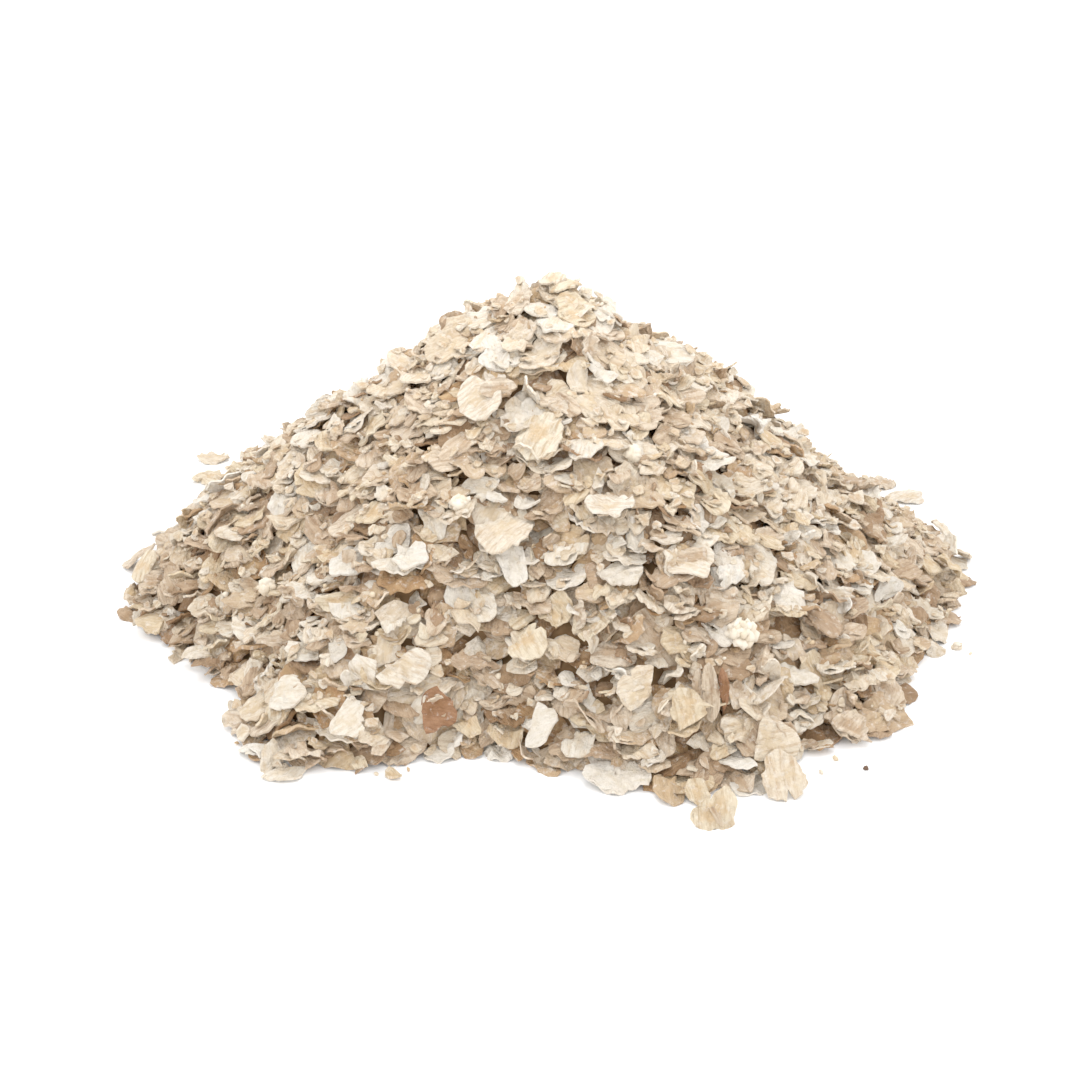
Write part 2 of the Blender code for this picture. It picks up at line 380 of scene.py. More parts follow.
def resting_plane(x, y, need):
    """Slopes and height (a, b, c) of the lowest plane a x + b y + c that clears every need.

    The three points that hold it up have the middle, x = y = 0, between them.
    """
    far = 1.0
    props = [(far, 0.0, -far), (-0.5 * far, 0.87 * far, -far), (-0.5 * far, -0.87 * far, -far)]
    plane = (0.0, 0.0, -far)
    for _ in range(PROP_CHANGES):
        over = need - (plane[0] * x + plane[1] * y + plane[2])
        worst = int(over.argmax())
        if over[worst] < TOUCHING:
            break
        point = (float(x[worst]), float(y[worst]), float(need[worst]))
        best = None
        for leave in range(3):
            kept = [props[i] for i in range(3) if i != leave]
            trial = kept + [point]
            (x0, y0, z0), (x1, y1, z1), (x2, y2, z2) = trial
            area = (x1 - x0) * (y2 - y0) - (x2 - x0) * (y1 - y0)
            if abs(area) < IN_ONE_LINE:
                continue
            share0 = (x1 * y2 - x2 * y1) / area
            share1 = (x2 * y0 - x0 * y2) / area
            share2 = 1 - share0 - share1
            least = min(share0, share1, share2)
            if best is None or least > best[0]:
                height = share0 * z0 + share1 * z1 + share2 * z2
                a = ((z1 - z0) * (y2 - y0) - (z2 - z0) * (y1 - y0)) / area
                b = ((x1 - x0) * (z2 - z0) - (x2 - x0) * (z1 - z0)) / area
                best = (least, trial, (a, b, height))
        if best is None:
            break
        props = best[1]
        plane = best[2]
    return plane


def bend_height(along, across, bend):
    """How far a flake's middle layer is off flat here: bent along, twisted, bent across."""
    return bend[0] * along**2 + bend[1] * along * across + bend[2] * across**2


def with_uphill(slope):
    """A level flake gets a slope too small to see, so that it has an uphill side."""
    return slope if math.hypot(*slope) > LEAST_SLOPE else (LEAST_SLOPE, 0.0)


def footprint(east, north, slope, turn, outline, bend, thickness):
    """Which cells a flake covers on this slope, and how far its lower side is off its plane."""
    steep = math.hypot(*slope) + NOT_ZERO
    stretch = math.hypot(1, steep)
    uphill = (east * slope[0] + north * slope[1]) / steep * stretch
    level = (north * slope[0] - east * slope[1]) / steep
    along = uphill * math.cos(turn) + level * math.sin(turn)
    across = level * math.cos(turn) - uphill * math.sin(turn)
    edge = np.interp(np.arctan2(across, along), DIRECTION_ANGLES, outline, period=math.tau)
    inside = np.hypot(along, across) < edge
    middle = bend_height(along[inside], across[inside], bend)
    return inside, (middle - 0.5 * thickness) * stretch, thickness * stretch


def at_rest(spot_x, spot_y, turn, outline, bend, thickness, leaning):
    """Where a flake with its middle over this spot comes to rest.

    What doesn't lie clear of the oats uphill is tucked under them.
    """
    reach = float(outline.max())
    row, column = cell_of(spot_x, spot_y)
    span = int(reach / CELL) + 1
    window = (slice(row - span, row + span + 1), slice(column - span, column + span + 1))
    ground = filled[window]
    east, north = np.meshgrid(grid_x[window[1]] - spot_x, grid_y[window[0]] - spot_y)
    slope = with_uphill((
        float(ground[:, -1].mean() - ground[:, 0].mean()) / (2 * span * CELL),
        float(ground[-1, :].mean() - ground[0, :].mean()) / (2 * span * CELL),
    ))
    share_kept, sway_x, sway_y, clear = leaning
    for _ in range(2):
        inside, lower, high_by = footprint(east, north, slope, turn, outline, bend, thickness)
        x = east[inside]
        y = north[inside]
        if len(x) < 3:
            return None
        slope_x, slope_y, height = resting_plane(x, y, ground[inside] - lower)
        slope = with_uphill((slope_x, slope_y))
    if math.hypot(*slope) > STEEPEST:
        return None
    if clear < 1:
        slope = with_uphill((slope[0] * share_kept + sway_x, slope[1] * share_kept + sway_y))
        inside, lower, high_by = footprint(east, north, slope, turn, outline, bend, thickness)
        x = east[inside]
        y = north[inside]
        need = np.sort(ground[inside] - lower - slope[0] * x - slope[1] * y)
        if len(x) < 3:
            return None
        height = float(need[int(clear * (len(need) - 1))])
    tops = slope[0] * x + slope[1] * y + height + lower + high_by
    return (*slope, height), window, inside, tops


FOOT_LEAST = 1.7 * MM
FOOT_EDGE = 0.5 * MM
PAST_FOOT = 0.22
laid = []
owner = np.full(form.shape, -1)
foot_cells = np.argwhere(heap_form > FOOT_LEAST)


def any_foot_cell():
    """Row and column of a random cell inside the heap's foot."""
    return foot_cells[draw.randrange(len(foot_cells))]


def lay(x, y, outline, bend, thickness, proud, kind, leaning=SNUG, past_foot=PAST_FOOT):
    """Drops one piece here and keeps it if it comes to rest within the heap's form.

    proud is how far its middle may stand above the form, and past_foot how much of it may
    lie beyond the heap's foot.
    """
    turn = draw.uniform(0, math.tau)
    rest = at_rest(x, y, turn, outline, bend, thickness, leaning)
    if rest is None:
        return False
    (slope_a, slope_b, height), window, inside, tops = rest
    if height - heap_form[cell_of(x, y)] > proud:
        return False
    if (heap_form[window][inside] < FOOT_EDGE).mean() > past_foot:
        return False
    ground = filled[window]
    owned = owner[window]
    higher = tops > ground[inside]
    ground[inside] = np.maximum(ground[inside], tops)
    owned[inside] = np.where(higher, len(laid), owned[inside])
    laid.append({
        "middle": (x, y, height), "slope": (slope_a, slope_b), "turn": turn,
        "outline": outline, "bend": bend, "thickness": thickness, "kind": kind,
    })
    return True


SPLIT_SHARE = 0.45
SPLIT_LEAST = 3.6 * MM
SPLIT_SIZES = (0.45, 0.85)
SPLIT_WIDTHS = (0.4, 0.9)
SPLIT_SHIFTS = (0.05, 0.22)
SPLIT_THICKNESS = 0.22 * MM
SPLIT_GAP = 0.06 * MM
SPLIT_SEEN = 5


def split_layer(piece):
    """A second, smaller layer that lies on a flake where the roller split it."""
    size = 2 * float(piece["outline"].max())
    slope = piece["slope"]
    steep = math.hypot(*slope)
    stretch = math.hypot(1, steep)
    shift = size * draw.uniform(*SPLIT_SHIFTS)
    way = draw.uniform(0, math.tau)
    lift = 0.5 * piece["thickness"] + SPLIT_GAP
    east = shift * math.cos(way)
    north = shift * math.sin(way)
    x, y, z = piece["middle"]
    middle = (
        x + east / stretch - slope[0] / stretch * lift,
        y + north / stretch - slope[1] / stretch * lift,
        z + (slope[0] * east + slope[1] * north) / stretch + lift / stretch,
    )
    laid.append({
        "middle": middle, "slope": slope, "turn": piece["turn"],
        "outline": flake_outline(size * draw.uniform(*SPLIT_SIZES), SPLIT_WIDTHS),
        "bend": piece["bend"], "thickness": SPLIT_THICKNESS, "kind": piece["kind"],
        "seen": SPLIT_SEEN,
    })


ROOM_REACH = 1.6 * MM
SPOTS_TRIED = 14


def room_at(x, y):
    """How far the oats still lie below the heap's form round this spot."""
    row, column = cell_of(x, y)
    step = int(ROOM_REACH / CELL)
    rows_near = (row, row, row, row - step, row + step)
    columns_near = (column, column - step, column + step, column, column)
    return float((heap_form - filled)[rows_near, columns_near].mean())


def roomiest_spot():
    """Of a few spots drawn inside the foot, the one where most oats are missing."""
    best = (-1.0, 0.0, 0.0)
    for _ in range(SPOTS_TRIED):
        row, column = any_foot_cell()
        x = grid_x[column] + draw.uniform(-0.5, 0.5) * CELL
        y = grid_y[row] + draw.uniform(-0.5, 0.5) * CELL
        best = max(best, (room_at(x, y), x, y))
    return best


# Shares of each kind of flake by look, at the heap's foot and at its peak, which is paler.
# The kinds are the oats' own colours, but the shift from brown ones at the foot to pale ones
# at the peak is painted shade, which darkens the heap toward its foot.
KIND_SHARES = {
    "cream": (0.19, 0.30), "pale": (0.11, 0.26), "golden": (0.20, 0.18), "tan": (0.24, 0.11),
    "floury": (0.08, 0.10), "bran": (0.18, 0.05),
}
MEAN_HEIGHT = 0.3


def any_kind(how_high=MEAN_HEIGHT):
    """A kind drawn by its share this high up the heap."""
    pick = draw.random()
    for kind, (at_foot, at_peak) in KIND_SHARES.items():
        pick -= at_foot + (at_peak - at_foot) * how_high
        if pick < 0:
            break
    return kind


# First a layer of wide, flat flakes that hides the core, set deep below the form.
COVER_LEAST = 0.7 * MM
COVER_LENGTHS = (5.0 * MM, 8.5 * MM)
COVER_WIDTHS = (0.75, 0.98)
COVER_CURL = 0.2 * MM
COVER_PROUD = -1.2 * MM

core_cells = np.argwhere(heap_form > COVER_LEAST).tolist()
draw.shuffle(core_cells)
for row, column in core_cells:
    if owner[row, column] >= 0:
        continue
    length = draw.uniform(*COVER_LENGTHS)
    lay(
        grid_x[column], grid_y[row], flake_outline(length, COVER_WIDTHS),
        flake_bend(length, COVER_CURL), draw.uniform(*FLAKE_THICKNESSES), COVER_PROUD, any_kind(),
    )

# Then flakes and halves of every size, wherever most are missing, up to the form.
FILL_TRIES = 8500
PROUD = -0.4 * MM
LEAST_ROOM = 0.4 * MM
CURLED_SHARE = 0.2
STRONG_CURL = 1.0 * MM
SLIGHT_CURL = 0.4 * MM

splits = []
peak = float(heap_form.max())
for _ in range(FILL_TRIES):
    room, x, y = roomiest_spot()
    if room < LEAST_ROOM:
        continue
    length = any_length()
    curl = STRONG_CURL if draw.random() < CURLED_SHARE else SLIGHT_CURL
    how_high = float(heap_form[cell_of(x, y)]) / peak
    came_to_rest = lay(
        x, y, flake_outline(length), flake_bend(length, curl), draw.uniform(*FLAKE_THICKNESSES),
        PROUD, any_kind(how_high), flake_leaning(how_high),
    )
    if came_to_rest and length > SPLIT_LEAST and draw.random() < SPLIT_SHARE:
        splits.append(laid[-1])
for piece in splits:
    split_layer(piece)


# Broken bits: corners and chips that broke off flakes in the bag, 1 to 3 mm long and
# a little thinner than whole ones. They have straight sides, and settle in the dips.
BITS = 1500
BIT_LENGTHS = (1.1 * MM, 1.7 * MM, 3.2 * MM)
BIT_THICKNESSES = (0.25 * MM, 0.5 * MM)
BIT_SIDES = (3, 4, 4, 5)
BIT_CORNER_TURNS = (0.9, 2.1)
BIT_REACHES = (0.16, 0.42)
BIT_MOST_REACH = 0.6
BIT_PROUD = 6 * MM
BIT_KEPT = (0.3, 1.0)
BIT_SWAY = 0.25
BIT_CLEAR = 0.8


def bit_outline(length):
    """A chip with three to five straight broken sides."""
    outline = np.full(DIRECTIONS, BIT_MOST_REACH * length)
    facing = draw.uniform(0, math.tau)
    for _ in range(draw.choice(BIT_SIDES)):
        facing += draw.uniform(*BIT_CORNER_TURNS)
        side = straight_break(facing, length * draw.uniform(*BIT_REACHES))
        outline = np.minimum(outline, side)
    return outline


for _ in range(BITS):
    row, column = any_foot_cell()
    lay(
        grid_x[column], grid_y[row], bit_outline(between(*BIT_LENGTHS)), (0.0, 0.0, 0.0),
        draw.uniform(*BIT_THICKNESSES), BIT_PROUD, "bit",
        (draw.uniform(*BIT_KEPT), draw.gauss(0, BIT_SWAY), draw.gauss(0, BIT_SWAY), BIT_CLEAR),
    )


# Flakes that catch the eye, most of them whole, each where it lies on the flank:
# x and y in mm, length in mm, kind, and the share of the flank's slope it keeps.
NOTABLE_FLAKES = (
    (-17.2, -50.3, 7.5, "russet", 0.9), (26.6, -37.6, 6.0, "floury", 0.9),
    (7.8, -13.9, 6.5, "floury", 0.8), (-5.0, -36.6, 7.0, "floury", 0.9),
    (-20.4, -35.7, 6.0, "floury", 0.8), (-21.5, -46.9, 9.0, "cream", 1.0),
    (-10.5, -16.2, 8.6, "cream", 0.9), (30.2, -57.1, 9.2, "cream", 1.0),
    (-3.5, -44.5, 8.0, "golden", 1.0), (19.7, -57.0, 8.0, "golden", 1.0),
    (-6.5, -33.0, 9.0, "cream", 0.7), (13.5, -52.9, 7.6, "cream", 1.0),
    (-38.4, -46.9, 7.4, "pale", 0.9), (-2.0, -52.4, 7.4, "floury", 0.9),
    (-29.1, -52.7, 7.6, "pale", 0.9), (-1.4, -22.7, 8.4, "golden", 0.8),
    (8.9, -33.8, 7.4, "cream", 0.7), (2.4, 0.5, 5.5, "golden", 0.9), (0.6, -0.5, 5.0, "cream", 0.9),
)
NOTABLE_WIDTHS = (0.65, 0.95)
NOTABLE_BROKEN = 0.75
NOTABLE_CURL = 0.5 * MM
NOTABLE_THICKNESS = 0.5 * MM
NOTABLE_PROUD = 4 * MM
NOTABLE_CLEAR = 0.9
NOTABLE_PAST_FOOT = 0.6

for x, y, length, kind, share_kept in NOTABLE_FLAKES:
    outline = flake_outline(length * MM, NOTABLE_WIDTHS, NOTABLE_BROKEN)
    lay(
        x * MM, y * MM, outline, flake_bend(length * MM, NOTABLE_CURL), NOTABLE_THICKNESS,
        NOTABLE_PROUD, kind, (share_kept, 0.0, 0.0, NOTABLE_CLEAR), NOTABLE_PAST_FOOT,
    )


# Stray flakes: rounder whole ones that rolled off the heap and lie loose on the surface
# round its foot, each at x and y in mm, with its length in mm and its kind.
STRAY_FLAKES = (
    (20.4, -63.4, 4.0, "golden"), (32.4, -61.0, 7.8, "cream"),
    (43.9, -48.6, 6.4, "tan"), (-72.3, 13.1, 7.0, "tan"), (-68.4, 21.8, 6.0, "floury"),
    (-68.4, -0.3, 6.4, "golden"), (-68.0, 65.0, 6.2, "cream"), (-67.0, 54.2, 7.2, "golden"),
    (-59.8, 66.1, 6.8, "cream"), (72.5, 25.8, 6.8, "cream"), (72.7, 16.1, 6.2, "cream"),
    (68.4, -0.3, 5.6, "golden"), (68.9, 43.9, 6.6, "cream"), (65.4, 51.5, 6.4, "tan"),
    (65.9, -18.0, 2.2, "cream"), (-44.5, -48.0, 3.0, "cream"), (-22.0, -57.5, 2.6, "golden"),
)
STRAY_WIDTHS = (0.75, 0.98)
STRAY_BROKEN = 0.3
STRAY_CURL = 0.3 * MM
STRAY_THICKNESS = 0.55 * MM
STRAY_PROUD = 9 * MM

for x, y, length, kind in STRAY_FLAKES:
    outline = flake_outline(length * MM, STRAY_WIDTHS, STRAY_BROKEN)
    lay(
        x * MM, y * MM, outline, flake_bend(length * MM, STRAY_CURL), STRAY_THICKNESS,
        STRAY_PROUD, kind, past_foot=1.0,
    )


# Wedged flakes: halves and splinters that slid down the flank and caught on edge
# between the others, with up to half of each standing out.
STANDING = 230
STANDING_LEANS = (48, 84)
STANDING_LENGTHS = (2.8 * MM, 4.8 * MM, 7.5 * MM)
STANDING_WIDTHS = (0.4, 0.85)
STANDING_SHOWS = (0.15, 0.45)
SEEN_WHOLE = 99


def wedge(x, y, outline, bend, thickness, kind, lean, facing, turn, shows):
    """Stands a flake on its edge in the heap, with this share of it showing."""
    steep = math.tan(lean)
    tall = math.sin(lean) * 2 * float(outline.mean())
    laid.append({
        "middle": (x, y, float(filled[cell_of(x, y)]) + (shows - 0.5) * tall),
        "slope": (steep * math.cos(facing), steep * math.sin(facing)), "turn": turn,
        "outline": outline, "bend": bend, "thickness": thickness, "kind": kind,
        "seen": SEEN_WHOLE,
    })


for _ in range(STANDING):
    row, column = any_foot_cell()
    length = between(*STANDING_LENGTHS)
    wedge(
        grid_x[column], grid_y[row], flake_outline(length, STANDING_WIDTHS), flake_bend(length),
        draw.uniform(*FLAKE_THICKNESSES), any_kind(),
        math.radians(draw.uniform(*STANDING_LEANS)), draw.uniform(0, math.tau),
        draw.uniform(0, math.tau), draw.uniform(*STANDING_SHOWS),
    )

# Those that catch the eye: x, y and length in mm, width as a share of it, kind, lean,
# the way it faces and its turn in degrees, and the share of it that shows. The last two
# are the stray with a dark crease in front of the heap, and its crease.
NOTABLE_WEDGED = (
    (-18.0, -43.2, 9.5, 0.2, "golden", 62, 90, 4, 0.9),
    (22.7, -54.0, 8.0, 0.3, "bran", 66, 75, 10, 0.9),
    (24.4, -53.2, 7.6, 0.24, "russet", 70, 100, -8, 0.95),
    (20.8, -52.6, 7.0, 0.3, "tan", 66, 85, 6, 0.9),
    (44.9, -26.9, 11.0, 0.3, "cream", 50, 75, 88, 0.7),
    (-31.0, -36.6, 7.5, 0.5, "golden", 62, 95, 85, 0.6),
    (-7.5, -17.0, 7.0, 0.45, "tan", 60, 85, 92, 0.6),
    (22.2, -36.6, 8.0, 0.35, "tan", 52, 90, 90, 0.6),
    (-10.5, -37.5, 6.5, 0.25, "golden", 64, 40, 30, 0.6),
    (6.0, -47.0, 6.5, 0.3, "cream", 70, 120, -5, 0.6),
    (22.0, -68.3, 7.4, 0.9, "golden", 42, 90, 0, 1.0),
    (22.1, -68.8, 4.8, 0.2, "bran", 42, 90, 24, 2.4),
)
WEDGED_CURL = 0.6 * MM

for x, y, length, width, kind, lean, facing, turn, shows in NOTABLE_WEDGED:
    wedge(
        x * MM, y * MM, flake_outline(length * MM, (width, width)),
        flake_bend(length * MM, WEDGED_CURL), NOTABLE_THICKNESS, kind, math.radians(lean),
        math.radians(facing), math.radians(turn), shows,
    )


# The body of every flake and bit: rolled thinner toward its edge and ruffled where the
# roller stretched it. Rings of corners above and below shape it, as shares of its reach,
# and small or hidden ones get fewer corners.
DETAILS = {
    "full": (1, (0.5, 0.84, 1.0), (1.0,)),
    "plain": (2, (0.6, 1.0), (1.0,)),
    "small": (3, (1.0,), (1.0,)),
    "hidden": (4, (1.0,), (1.0,)),
}
PLAIN_UNDER = 4.6 * MM
SMALL_UNDER = 3.4 * MM
SEEN_WELL = 10
SEEN_LEAST = 3
EDGE_THINNING = 0.32
RUFFLES = 3
RUFFLE_WAVELENGTHS = (1.4 * MM, 3.0 * MM)
RUFFLE_HEIGHT = 0.14 * MM
FLUTTER_WAVES = ((2, 3), (4, 5, 6))
FLUTTER_HEIGHT = 0.15 * MM
FULL_RUFFLE_SIZE = 6 * MM
# A flake's tint is its own tone drawn at random, less painted shade for each mm that it lies below the
# heap's form.
LEAST_TINT = 0.3
PAINTED_SHADE_PER_MM = 0.28
GRAIN_SHEET = 400
SHARP_EDGE = math.radians(42)
LOWEST = 0.02 * MM

seen_cells = np.bincount(owner[owner >= 0], minlength=len(laid))
for number, piece in enumerate(laid):
    seen = piece.get("seen", int(seen_cells[number]))
    size = 2 * float(piece["outline"].max())
    if seen < SEEN_LEAST:
        piece["detail"] = "hidden"
    elif size < SMALL_UNDER:
        piece["detail"] = "small"
    elif size < PLAIN_UNDER or seen < SEEN_WELL:
        piece["detail"] = "plain"
    else:
        piece["detail"] = "full"
    x, y, height = piece["middle"]
    deep = max(0.0, float(heap_form[cell_of(x, y)]) - height) / MM
    # Painted shade: the deeper a flake lies below the form, the darker its tint.
    shade = LEAST_TINT + (1 - LEAST_TINT) * draw.random() - PAINTED_SHADE_PER_MM * deep
    piece["tint"] = min(1.0, max(0.0, shade))
    piece["grain"] = (draw.uniform(0, GRAIN_SHEET), draw.uniform(0, GRAIN_SHEET))
    strength = min(1.0, size / FULL_RUFFLE_SIZE)
    ruffle = []
    for _ in range(RUFFLES):
        way = draw.uniform(0, math.tau)
        fine = math.tau / draw.uniform(*RUFFLE_WAVELENGTHS)
        height = draw.gauss(0, RUFFLE_HEIGHT) * strength
        ruffle.append((fine * math.cos(way), fine * math.sin(way), draw.uniform(0, math.tau), height))
    piece["ruffle"] = ruffle
    piece["flutter"] = [
        (waves, draw.uniform(0, math.tau), draw.gauss(0, FLUTTER_HEIGHT) * strength)
        for waves in [draw.choice(counts) for counts in FLUTTER_WAVES]
    ]


def flake_corners(pieces, step, rings_above, rings_below):
    """Corner positions of these pieces, as (pieces, corners, 3), and their places in the flake."""
    angles = DIRECTION_ANGLES[::step]
    outlines = np.array([piece["outline"][::step] for piece in pieces])
    thickness = np.array([piece["thickness"] for piece in pieces])[:, None]
    places = []
    lifts = []
    reaches = []
    for rings, side in ((rings_above, 1), (rings_below, -1)):
        places.append(np.zeros((len(pieces), 1, 2)))
        lifts.append(side * 0.5 * thickness)
        reaches.append([0.0])
        for ring in rings:
            reach = outlines * ring
            places.append(np.stack([reach * np.cos(angles), reach * np.sin(angles)], axis=2))
            thin = 1 - EDGE_THINNING * ring**4
            lifts.append(np.repeat(side * 0.5 * thickness * thin, len(angles), axis=1))
            reaches.append([ring] * len(angles))
    places = np.concatenate(places, axis=1)
    lifts = np.concatenate(lifts, axis=1)
    reaches = np.concatenate(reaches)
    along, across = places[..., 0], places[..., 1]
    bends = np.array([piece["bend"] for piece in pieces])
    lifts = lifts + bends[:, :1] * along**2 + bends[:, 1:2] * along * across
    lifts = lifts + bends[:, 2:] * across**2
    ruffles = np.array([piece["ruffle"] for piece in pieces])
    for wave in range(RUFFLES):
        way_x, way_y, phase, height = ruffles[:, wave, :, None].transpose(1, 0, 2)
        lifts = lifts + height * np.sin(way_x * along + way_y * across + phase)
    flutters = np.array([piece["flutter"] for piece in pieces])
    round_it = np.arctan2(across, along)
    for wave in range(len(FLUTTER_WAVES)):
        waves, phase, height = flutters[:, wave, :, None].transpose(1, 0, 2)
        lifts = lifts + height * reaches**2 * np.sin(waves * round_it + phase)
    turns = np.array([piece["turn"] for piece in pieces])[:, None]
    uphill = along * np.cos(turns) - across * np.sin(turns)
    level = along * np.sin(turns) + across * np.cos(turns)
    slopes = np.array([piece["slope"] for piece in pieces])
    steep = np.maximum(np.hypot(slopes[:, 0], slopes[:, 1]), NOT_ZERO)[:, None]
    stretch = np.hypot(1, steep)
    toward = slopes / steep
    one = np.ones_like(steep)
    up_way = np.concatenate([toward / stretch, steep / stretch], axis=1)[:, None, :]
    level_way = np.concatenate([-toward[:, 1:], toward[:, :1], 0 * one], axis=1)[:, None, :]
    normal = np.concatenate([-slopes / stretch, one / stretch], axis=1)[:, None, :]
    middles = np.array([piece["middle"] for piece in pieces])[:, None, :]
    corners = middles + uphill[..., None] * up_way + level[..., None] * level_way
    return corners + lifts[..., None] * normal, places, reaches


def flake_faces(sides, above, below):
    """Faces of one piece: triangles round each middle, quads between rings and at the edge."""
    triangles = []
    quads = []
    second = 1 + above * sides
    for i in range(sides):
        j = (i + 1) % sides
        triangles.append((0, 1 + i, 1 + j))
        triangles.append((second, second + 1 + j, second + 1 + i))
        for ring in range(above - 1):
            inner, outer = 1 + ring * sides, 1 + (ring + 1) * sides
            quads.append((inner + i, outer + i, outer + j, inner + j))
        for ring in range(below - 1):
            inner, outer = second + 1 + ring * sides, second + 1 + (ring + 1) * sides
            quads.append((inner + j, outer + j, outer + i, inner + i))
        top_edge = 1 + (above - 1) * sides
        low_edge = second + 1 + (below - 1) * sides
        quads.append((top_edge + i, low_edge + i, low_edge + j, top_edge + j))
    return np.array(triangles), np.array(quads)


BAKE_SPARE = 1.03
BAKE_GROWTH = 1.02
TOP_IN_CELL = 0.4
TOP_EDGE_IN_CELL = 0.41
BACK_IN_CELL = 0.46
BACK_EDGE_IN_CELL = 0.48


def bake_cells(heights):
    """Each piece's own cell on the square bake map, twice as wide as high, packed in rows."""
    order = np.argsort(-heights)
    side = BAKE_SPARE * math.sqrt(2 * float((heights**2).sum()))
    cells = np.zeros((len(heights), 2))
    while True:
        across = up = row_height = 0.0
        for number in order:
            height = heights[number]
            if across + 2 * height > side:
                across = 0.0
                up += row_height
                row_height = 0.0
            row_height = max(row_height, height)
            cells[number] = (across, up)
            across += 2 * height
        if up + row_height <= side:
            return cells / side, heights / side
        side *= BAKE_GROWTH


def bake_places(sides, rings_above, rings_below, faces):
    """Where each face corner of a piece lies in its cell: its top and edge left, its back right."""
    turns = np.arange(sides) * math.tau / sides
    ways = np.stack([np.cos(turns), np.sin(turns)], axis=1)
    tops = [np.array([[0.5, 0.5]])] + [0.5 + TOP_IN_CELL * ring * ways for ring in rings_above]
    backs = [np.array([[1.5, 0.5]])]
    backs += [np.array([1.5, 0.5]) + BACK_IN_CELL * ring * ways for ring in rings_below]
    corners = np.concatenate(tops + backs)
    places = corners[faces]
    second = 1 + len(rings_above) * sides
    on_top = faces < second
    edge = on_top.any(axis=1) & ~on_top.all(axis=1)
    around = (faces - np.where(on_top, 1, second + 1)) % sides
    reach = np.where(on_top, TOP_EDGE_IN_CELL, BACK_EDGE_IN_CELL)
    ring_places = 0.5 + reach[..., None] * ways[around]
    places[edge] = ring_places[edge]
    return places.reshape(-1, 2)


def joined_pieces(name, pieces, material):
    """One object of many flakes, each with its tint, its grain in mm and its reach to the edge."""
    all_corners = []
    loops = []
    sizes = []
    grains = []
    tints = []
    edges = []
    bakes = []
    heights = np.array([float(piece["outline"].max()) for piece in pieces])
    cells, cell_heights = bake_cells(heights)
    start = 0
    for detail, (step, rings_above, rings_below) in DETAILS.items():
        numbers = [i for i, piece in enumerate(pieces) if piece["detail"] == detail]
        if not numbers:
            continue
        group = [pieces[i] for i in numbers]
        corners, places, reaches = flake_corners(group, step, rings_above, rings_below)
        faces_of_each = flake_faces(DIRECTIONS // step, len(rings_above), len(rings_below))
        count = corners.shape[1]
        firsts = start + count * np.arange(len(group))
        shifts = np.array([piece["grain"] for piece in group])
        shades = np.array([piece["tint"] for piece in group])
        for faces in faces_of_each:
            loops.append((faces[None] + firsts[:, None, None]).reshape(-1))
            sizes.append(np.full(len(group) * len(faces), faces.shape[1]))
            tints.append(np.repeat(shades, len(faces)))
            local = places[:, faces.reshape(-1), :] / MM + shifts[:, None, :]
            grains.append(local.reshape(-1, 2))
            in_cell = bake_places(DIRECTIONS // step, rings_above, rings_below, faces)
            spread = cells[numbers][:, None] + cell_heights[numbers][:, None, None] * in_cell
            bakes.append(spread.reshape(-1, 2))
        edges.append(np.tile(reaches, len(group)))
        all_corners.append(corners.reshape(-1, 3))
        start += count * len(group)
    corners = np.concatenate(all_corners)
    loops = np.concatenate(loops)
    sizes = np.concatenate(sizes)
    corners[:, 2] = np.maximum(corners[:, 2], LOWEST)
    mesh = bpy.data.meshes.new(name)
    mesh.vertices.add(len(corners))
    mesh.vertices.foreach_set("co", corners.astype(np.float32).reshape(-1))
    mesh.loops.add(len(loops))
    mesh.loops.foreach_set("vertex_index", loops.astype(np.int32))
    mesh.polygons.add(len(sizes))
    mesh.polygons.foreach_set("loop_start", (np.cumsum(sizes) - sizes).astype(np.int32))
    mesh.update(calc_edges=True)
    tint = mesh.attributes.new("tint", "FLOAT", "FACE")
    tint.data.foreach_set("value", np.concatenate(tints).astype(np.float32))
    to_edge = mesh.attributes.new("to_edge", "FLOAT", "POINT")
    to_edge.data.foreach_set("value", np.concatenate(edges).astype(np.float32))
    grain_map = mesh.uv_layers.new(name="grain")
    grain_map.uv.foreach_set("vector", np.concatenate(grains).astype(np.float32).reshape(-1))
    bake_map = mesh.uv_layers.new(name="OFBake")
    bake_map.uv.foreach_set("vector", np.concatenate(bakes).astype(np.float32).reshape(-1))
    mesh.shade_smooth()
    mesh.set_sharp_from_angle(angle=SHARP_EDGE)
    heap_piece(name, mesh, material)


# Rolled oat is dry starch pressed between steel rollers, so it is matt with a trace of
# sheen. Its bran fibres are 0.1 mm wide, which is too fine to show, so a streak is drawn
# 0.7 mm wide and 3.6 mm long, and a pressed wrinkle alike. The bran's patches are 2.4 mm
# across, the specks of flour 1.1 mm, and the pits 0.9 mm.
OAT_ROUGHNESS = 0.74
OAT_IOR = 1.45
OAT_SHEEN = 0.3
STREAKS_PER_MM = (0.28, 1.5, 1)
WRINKLES_PER_STREAK = 0.9
PATCHES_PER_MM = 0.42
SPECKS_PER_MM = 0.9
PITS_PER_MM = 1.1
WRINKLE_DEPTH = 1.1 * MM
EDGE_PALER = 0.32
FLOUR_WHITE = "e2d8ca"


